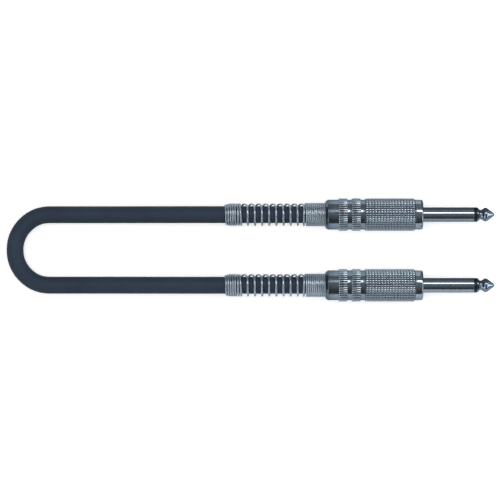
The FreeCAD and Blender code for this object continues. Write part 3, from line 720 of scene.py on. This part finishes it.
def knurled_shell(plug, side):
    """Screw-on shell: square pads on the barrel, straight ribs on two bands, hollow waists.

    Outside, radius = station radius - (flute depth * flute groove + row depth * row groove *
    (1 - flute groove)). Inside is a bore with the thread that fits the spigot.
    """
    back, base, fluted, row, edge = shell_stations().T
    steps, depths = groove(FLUTE_GROOVE)
    around = (np.arange(FLUTES)[:, None] + steps).ravel() / FLUTES
    columns = len(around)
    flute = np.tile(depths, FLUTES)[None] * fluted[:, None]
    row = row[:, None]
    sunk = 1 - (1 - flute) * (1 - row)
    depth = FLUTE_DEPTH * flute + ROW_DEPTH * row * (1 - flute)
    outer = turned(-back, base[:, None] - depth, columns, around)

    thread_back = np.linspace(SHELL_THREAD_END, SHELL_THREAD_START, SHELL_THREAD_ROWS)
    seat = [SHELL_LENGTH, SEAT + SEAT_STEP, SEAT - SEAT_STEP]
    bore = np.concatenate([seat, thread_back, [0.0]])
    width = np.full(len(bore), SHELL_BORE)
    width[:2] = SPRING_OPENING
    width[-1] = SHELL_BORE + MOUTH_WIDENING
    angle = 2 * np.pi * np.arange(BORE_COLUMNS) / BORE_COLUMNS
    cut = 1 - thread_hollow(-thread_back[:, None], angle)
    fade = np.clip((SHELL_THREAD_END - thread_back) / SHELL_THREAD_FADE, 0, 1)[:, None]
    inner_radius = np.repeat(width[:, None], BORE_COLUMNS, axis=1)
    inner_radius[len(seat):-1] += (THREAD_DEPTH - FIT_GAP) * cut * fade
    inner = turned(-bore, inner_radius, BORE_COLUMNS)

    points = np.concatenate([outer.reshape(-1, 3), inner.reshape(-1, 3)])
    bore_start = len(outer) * columns
    polygons = [
        grid_quads(len(outer), columns, 0),
        grid_quads(len(inner), BORE_COLUMNS, bore_start),
        rim_polygons(bore_start - columns, columns, bore_start, False),
        rim_polygons(0, columns, len(points) - BORE_COLUMNS, True),
    ]
    flat = np.zeros(len(inner) * BORE_COLUMNS)
    marks = {
        # The hollow mark sets where painted shade darkens the knurl's grooves.
        "hollow": np.concatenate([sunk.ravel(), flat]),
        "edge": np.concatenate([np.repeat(edge, columns), flat]),
        "crown": np.concatenate([(fluted[:, None] * (1 - sunk)).ravel(), flat]),
        "along": np.concatenate([np.repeat(back, columns), np.repeat(bore, BORE_COLUMNS)]),
        "satin": np.concatenate([np.repeat(back > REAR_START, columns), flat]),
    }
    points = place_on_plug(points, side)
    piece = new_piece("knurled_shell_" + plug, points, polygons, NICKEL_SHELL, marks)
    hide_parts("shell_" + plug)
    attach(piece, "shell_" + plug)


def grid_quads(rows, columns, start):
    """Quads between neighbours of an open-ended grid whose corners begin at that number."""
    first = np.arange(rows - 1)[:, None] * columns + start
    near = np.arange(columns)
    far = (near + 1) % columns
    corners = [first + near, first + far, first + columns + far, first + columns + near]
    return np.stack(corners, axis=-1).reshape(-1, 4)


def rim_polygons(outer_start, columns, inner_start, turned_round):
    """Flat polygons between an outer row of many corners and a bore's row of fewer."""
    ratio = columns // BORE_COLUMNS
    first = np.arange(BORE_COLUMNS)[:, None]
    outer = outer_start + (first * ratio + np.arange(ratio + 1)) % columns
    inner = inner_start + (first + np.array([1, 0])) % BORE_COLUMNS
    polygons = np.concatenate([outer, inner], axis=1)
    return polygons[:, ::-1] if turned_round else polygons


def smooth_over(values, width):
    """Running average with a raised-cosine weight, the end values held beyond the ends."""
    weight = np.hanning(width + 2)[1:-1]
    padded = np.pad(values, width // 2, mode="edge")
    return np.convolve(padded, weight / weight.sum(), mode="valid")[:len(values)]


def spring_path():
    """Middle line of the guard's wire in plug coordinates, and 1 at points where its turns touch.

    Counting turns t towards the tail: y = coil * sin(2 pi t), z = coil * cos(2 pi t) and
    x = -(distance + pitch * opened * step), where coil, distance and opened run between stations.
    The step makes each open turn advance by three quarters of its pitch within a short part of
    the turn about y = coil: with u the turns from there, step = share * (smoothstep(u / part +
    half) - half - u). Touching is 1 - opened.
    """
    open_end = CLOSE_END + OPEN_TURNS * OPEN_PITCH
    last_open = CLOSE_TURNS + OPEN_TURNS
    last = last_open + 2 + TAIL_TURNS
    pitch = (CLOSE_END - FLARE_START) / (CLOSE_TURNS - 0.5)
    tail_start = open_end + pitch + LOOSE_PITCH
    tail_pitch = (TAIL_END - tail_start) / TAIL_TURNS
    # Turns, distance behind the shell's front edge, coil radius, and 1 where the turns are open.
    stations = np.array([
        (0, FLARE_START, FLARE_COIL, 0),
        (0.5, FLARE_START, FLARE_COIL, 0),
        (1, FLARE_START + 0.5 * pitch, CLOSE_COIL, 0),
        (CLOSE_TURNS - 0.5, CLOSE_END - 0.5 * pitch, CLOSE_COIL, 0),
        (CLOSE_TURNS + 0.4, CLOSE_END + 0.4 * OPEN_PITCH, OPEN_COIL, 1),
        (last_open - 0.2, open_end - 0.2 * OPEN_PITCH, OPEN_COIL, 1),
        (last_open + 0.3, open_end + 0.3 * pitch, TAIL_COIL, 0),
        (last_open + 1, open_end + pitch, TAIL_COIL, 0),
        (last_open + 2, tail_start, TAIL_COIL, 0),
        (last - 1.8, TAIL_END - 1.8 * tail_pitch, TAIL_COIL, 0),
        (last, TAIL_END, TAIL_END_COIL, 0),
    ])
    count = np.linspace(0, last, int(last * POINTS_PER_TURN) + 1)
    turns, *columns = stations.T
    distance, coil, opened = (np.interp(count, turns, column) for column in columns)
    coil = smooth_over(coil, POINTS_PER_TURN // 2)
    opened = smooth_over(opened, POINTS_PER_TURN // 2)
    angle = 2 * np.pi * count
    turn = count - 0.25 - np.round(count - 0.25)
    part = np.clip(turn / STEP_TURN + 0.5, 0, 1)
    step = STEP_SHARE * (part ** 2 * (3 - 2 * part) - 0.5 - turn)
    forward = -(distance + OPEN_PITCH * opened * step)
    return np.stack([forward, coil * np.sin(angle), coil * np.cos(angle)], axis=1), 1 - opened


def wire_guard(plug, side):
    """Coiled wire guard: a flared turn inside the shell, close turns, open turns, tail."""
    path, touching = spring_path()
    angle = 2 * np.pi * np.arange(WIRE_SIDES) / WIRE_SIDES
    grid = wire_along(path, WIRE_THICK, WIRE_WIDE, WIRE_SIDES)
    points, polygons = closed_grid(place_on_plug(grid, side))
    marks = {
        "along": mark_points(angle[None], len(path), WIRE_SIDES),
        # The hollow mark sets painted shade on the wire's flanks where close turns touch.
        "hollow": mark_points(touching[:, None] * np.sin(angle) ** 4, len(path), WIRE_SIDES),
    }
    piece = new_piece("wire_guard_" + plug, points, polygons, SPRING_STEEL, marks, crease=WIRE_CREASE)
    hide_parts("spring_" + plug)
    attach(piece, "carrier_" + plug)


# The cable

def cable_jacket():
    """The cable from inside one plug, down to the floor, round the U and back."""
    curve = bpy.data.curves.new("cable", "CURVE")
    curve.dimensions = "3D"
    spline = curve.splines.new("NURBS")
    spline.points.add(len(ROUTE) - 1)
    spline.points.foreach_set("co", np.array([(*point, 1.0) for point in ROUTE]).ravel())
    spline.order_u = 3
    spline.use_endpoint_u = True
    spline.resolution_u = 24
    curve.bevel_depth = CABLE_RADIUS * MM
    curve.bevel_resolution = 12
    curve.use_fill_caps = True
    curve.materials.append(JACKET)
    piece = bpy.data.objects.new("cable", curve)
    bpy.context.scene.collection.objects.link(piece)
    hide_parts("cable_jacket")
    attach(piece, "root")


def bared_ends(plug, side):
    """The cable's layers where they are stripped inside a shell."""
    layers = [
        ("bared_wire_", CONDUCTOR_RADIUS, CONDUCTOR_START, CORE_START,
         COPPER, "copper_wire", "cable_conductor"),
        ("bared_core_", CORE_RADIUS, CORE_START, JACKET_START,
         CORE_PLASTIC, "core_plastic", "cable_core_insulation"),
        ("bared_carbon_", CARBON_RADIUS, CARBON_START, JACKET_START,
         CARBON_PLASTIC, "carbon_plastic", "cable_carbon_layer"),
        ("bared_shield_", SHIELD_RADIUS, SHIELD_START, JACKET_START,
         COPPER, "copper_braid", "cable_shield"),
    ]
    for name, radius, start, covered, finish, slot_name, node in layers:
        end = covered + LAYER_OVERLAP
        corners = [(-start, ON_AXIS, 0), (-start, radius, 0.1), (-end, radius, 0), (-end, ON_AXIS, 0)]
        profile, edges = rounded(corners)
        piece = turned_piece(name + plug, side, profile, edges, finish, columns=LAYER_COLUMNS)
        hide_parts(node)
        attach(piece, "root")


# What stands round the object

def camera():
    """Camera straight above, with the photograph's framing."""
    data = bpy.data.cameras.new("camera")
    data.sensor_width = 36.0
    data.lens = data.sensor_width * VIEW_DISTANCE / VIEW_WIDTH
    data.clip_start = 0.01
    data.clip_end = 30.0
    view = bpy.data.objects.new("camera", data)
    view.location = (*VIEW_MIDDLE, AXIS_HEIGHT * MM + VIEW_DISTANCE)
    bpy.context.scene.collection.objects.link(view)
    bpy.context.scene.camera = view


def stage_plane(name, corners, material):
    """Plane of the stage through four corners in metres."""
    mesh = bpy.data.meshes.new(name)
    mesh.from_pydata(corners.tolist(), [], [(0, 1, 2, 3)])
    mesh.materials.append(material)
    plane = bpy.data.objects.new(name, mesh)
    bpy.context.scene.collection.objects.link(plane)
    return plane


def floor():
    """Pale floor that stays white in the picture and keeps the object's shadow."""
    material, tree, shader = new_material("floor", Base_Color=(0.86, 0.86, 0.86, 1), Roughness=0.9,
                                          Specular_IOR_Level=0.0, Emission_Color=(1, 1, 1, 1))
    rays = add(tree, "LightPath").outputs
    mirrored = calculate(tree, "MAXIMUM", rays["Is Glossy Ray"], rays["Is Transmission Ray"])
    mirrored = calculate(tree, "MULTIPLY", mirrored, MIRRORED_TOP_UP)
    strength = calculate(tree, "MULTIPLY_ADD", rays["Is Camera Ray"], FLOOR_TOP_UP, mirrored)
    tree.links.new(strength, shader.inputs["Emission Strength"])
    corners = np.array([(-1, -1, 0), (1, -1, 0), (1, 1, 0), (-1, 1, 0)]) * FLOOR_HALF
    stage_plane("floor", corners - [0, 0, FLOOR_DROP], material)


def grey_card(name, corners, light, both_faces=False):
    """Card seen only in polished metal: from its upper face, or from both."""
    material, tree, shader = new_material(name, Base_Color=(0, 0, 0, 1), Specular_IOR_Level=0.0,
                                          Emission_Color=(1, 1, 1, 1), Emission_Strength=light)
    if not both_faces:
        underneath = add(tree, "NewGeometry").outputs["Backfacing"]
        tree.links.new(calculate(tree, "SUBTRACT", 1.0, underneath), shader.inputs["Alpha"])
    plane = stage_plane(name, corners, material)
    plane.visible_camera = False
    plane.visible_diffuse = False
    plane.visible_shadow = False


def cards():
    """One card beside each sleeve, rising to its +Y side, and one upright between the shells."""
    back, front = COLLAR_LENGTH + CARD_PAST_COLLAR, TIP_END + CARD_PAST_TIP
    near, far = CARD_FOOT, CARD_FOOT + CARD_REACH
    low, high = CARD_LIFT - AXIS_HEIGHT, CARD_HEIGHT - AXIS_HEIGHT
    corners = np.array([(back, near, low), (front, near, low), (front, far, high), (back, far, high)])
    for plug, side in PLUGS.items():
        grey_card("card_" + plug, place_on_plug(corners, side), CARD_LIGHT)
    back, front, high = -SHELL_LENGTH, COLLAR_LENGTH, AXIS_HEIGHT
    corners = np.array([(back, 0, low), (front, 0, low), (front, 0, high), (back, 0, high)])
    grey_card("card_between", place_on_plug(corners, 0), CARD_BETWEEN_LIGHT, both_faces=True)


def lamp(name, place, aim, size, radiance, mirrored=True):
    """Flat lamp of that size in metres and that radiance, its first side level.

    It either shows only in gloss or lights only matt surfaces.
    """
    data = bpy.data.lights.new(name, "AREA")
    data.shape = "RECTANGLE"
    data.size, data.size_y = size
    data.energy = radiance * math.pi * size[0] * size[1]
    light = bpy.data.objects.new(name, data)
    place, aim = np.array(place), np.array(aim)
    away = (place - aim) / np.linalg.norm(place - aim)
    across = np.cross([0.0, 0.0, 1.0], away) if abs(away[2]) < 0.999 else np.array([1.0, 0.0, 0.0])
    across /= np.linalg.norm(across)
    turn = np.eye(4)
    turn[:3] = np.stack([across, np.cross(away, across), away, place], axis=1)
    light.matrix_world = turn.T.tolist()
    light.visible_camera = False
    light.visible_glossy = mirrored
    light.visible_diffuse = not mirrored
    bpy.context.scene.collection.objects.link(light)


def surroundings():
    """Studio light: strips behind, lamps at the sides and low at the left, a dim panel, a fill above.

    The world round them is dimmer on the -Y side and towards both ends.
    """
    middle = VIEW_MIDDLE[0]
    aim = (middle, 0, AIM_HEIGHT)
    lamp("strip", (0.27, 0.225, 0.397), (0.27, 0, AIM_HEIGHT), (0.48, 0.1), 7.0)
    lamp("dim_strip", (-0.25, 0.225, 0.397), (-0.25, 0, AIM_HEIGHT), (0.56, 0.12), 0.75)
    lamp("side_left", (middle - 0.32, -0.12, 0.5), (middle, -0.12, AIM_HEIGHT), (1.1, 0.16), 2.5)
    lamp("low_left", (middle - 0.42, -0.5, 0.35), aim, (0.4, 0.35), 2.2)
    lamp("side_right", (middle + 0.75, -0.1, 0.23), (middle, -0.1, AIM_HEIGHT), (0.8, 0.22), 3.5)
    lamp("panel", (middle, -0.6, 0.1), aim, (1.2, 0.2), 1.0)
    lamp("fill", (middle, 0, 1.0), (middle, 0, 0), (2.4, 2.4), 1.3, mirrored=False)
    world = bpy.data.worlds.new("studio")
    world.use_nodes = True
    tree = world.node_tree
    direction = add(tree, "TexCoord").outputs["Generated"]
    parts = add(tree, "SeparateXYZ", Vector=direction).outputs
    shade = ramp(tree, parts["Y"], -0.7, 0.0, 0.1, 0.34)
    ends = ramp(tree, calculate(tree, "ABSOLUTE", parts["X"]), 0.35, 0.8, 1.0, 0.3)
    strength = calculate(tree, "MULTIPLY", shade, ends)
    tree.links.new(strength, tree.nodes["Background"].inputs["Strength"])
    tree.nodes["Background"].inputs["Color"].default_value = (1, 1, 1, 1)
    bpy.context.scene.world = world


camera()
cable_jacket()
for plug, side in PLUGS.items():
    contact_tip(plug, side)
    ring_moulding(plug, side)
    sleeve_body(plug, side)
    knurled_shell(plug, side)
    wire_guard(plug, side)
    bared_ends(plug, side)
floor()
cards()
surroundings()

KEPT_NODES = {
    "ground_lug_": TINNED_LUG,
    "tip_lug_": TINNED_LUG,
    "rear_washer_": FIBRE,
    "insulating_tube_": SLEEVING,
    "solder_tip_": SOLDER,
    "solder_ground_": SOLDER,
}
for prefix, finish in KEPT_NODES.items():
    for plug in PLUGS:
        for kept_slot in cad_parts[prefix + plug].material_slots:
            kept_slot.material = finish

bpy.context.scene.view_settings.view_transform = "Standard"
